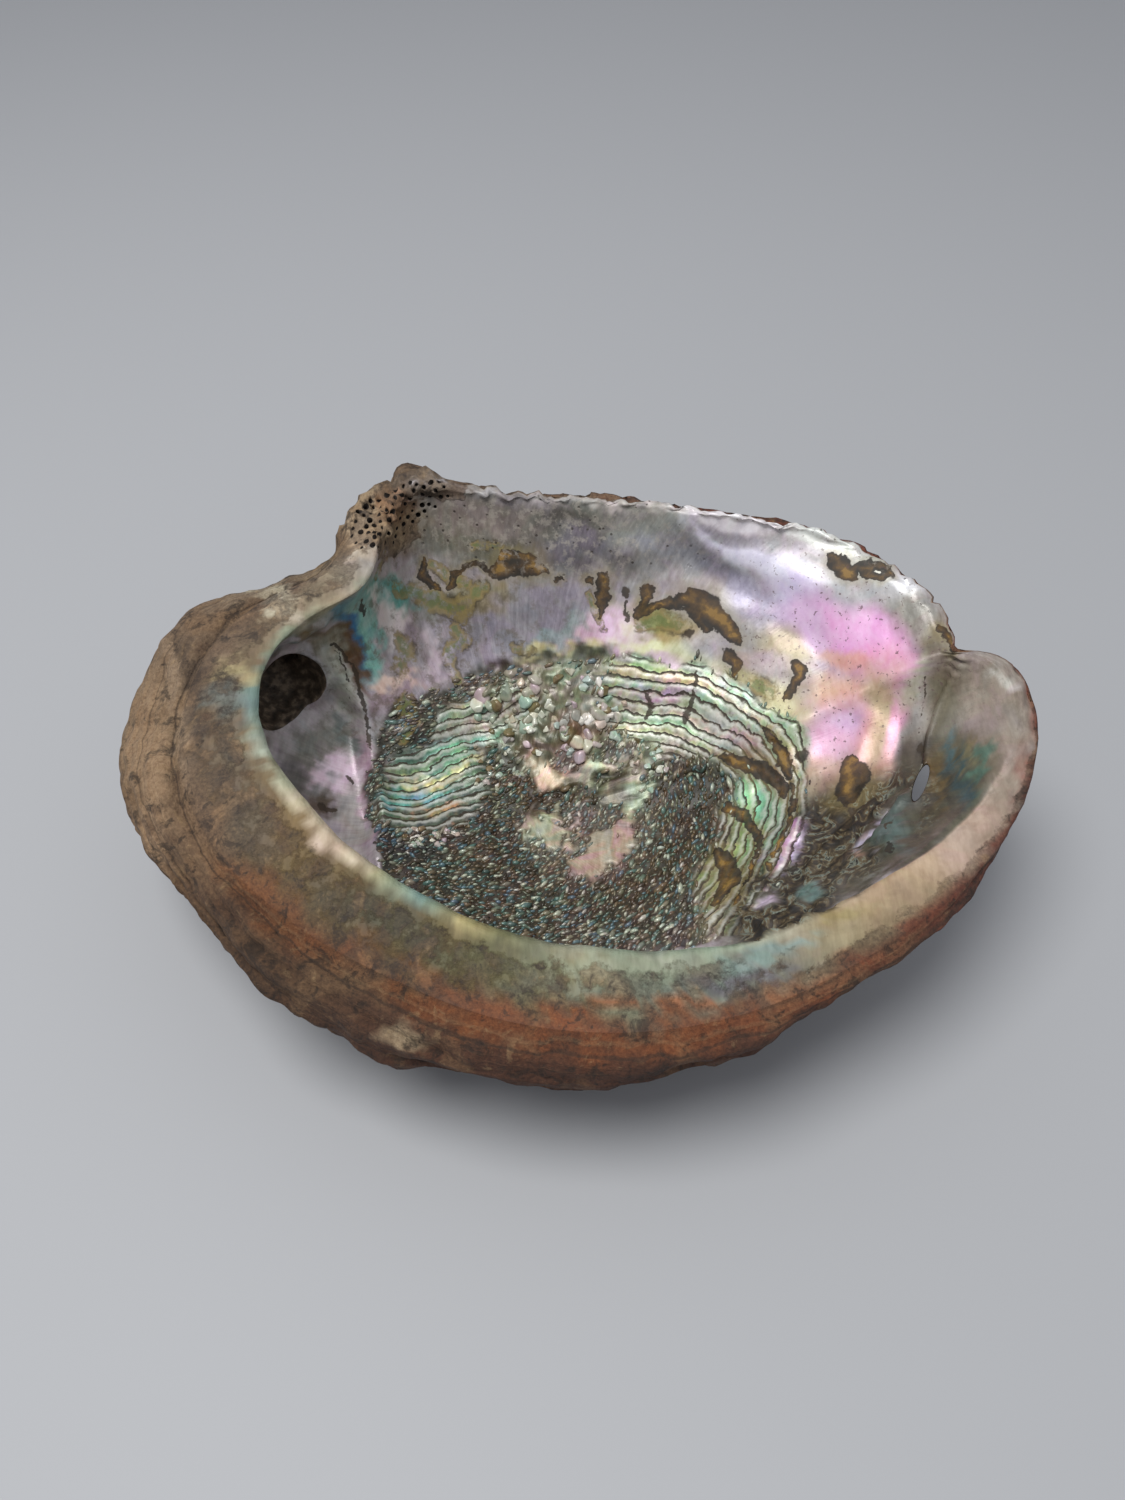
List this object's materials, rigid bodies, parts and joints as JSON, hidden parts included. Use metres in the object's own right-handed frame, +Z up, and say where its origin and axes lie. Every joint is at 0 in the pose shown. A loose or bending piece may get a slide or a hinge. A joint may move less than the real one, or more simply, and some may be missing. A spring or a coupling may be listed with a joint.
{
  "type": "abalone shell",
  "caption": "Large red abalone shell lying open side up as a natural bowl, pearly inside with muscle scar and spire hole, rough ledged back.",
  "frame": {"origin": "centre of the bounding box in plan, on the surface that the shell lies on", "axes": "+X along the shell's length, from the spire end towards the newest growth; +Y towards the raised inner lip edge; +Z up out of the mouth"},
  "size_m": [0.2062, 0.153, 0.0696],
  "materials": {
    "shell": "iridescent mother-of-pearl inside, matt crusted brown back"
  },
  "bodies": {
    "root": {"shell": "shell"}
  },
  "joints": []
}
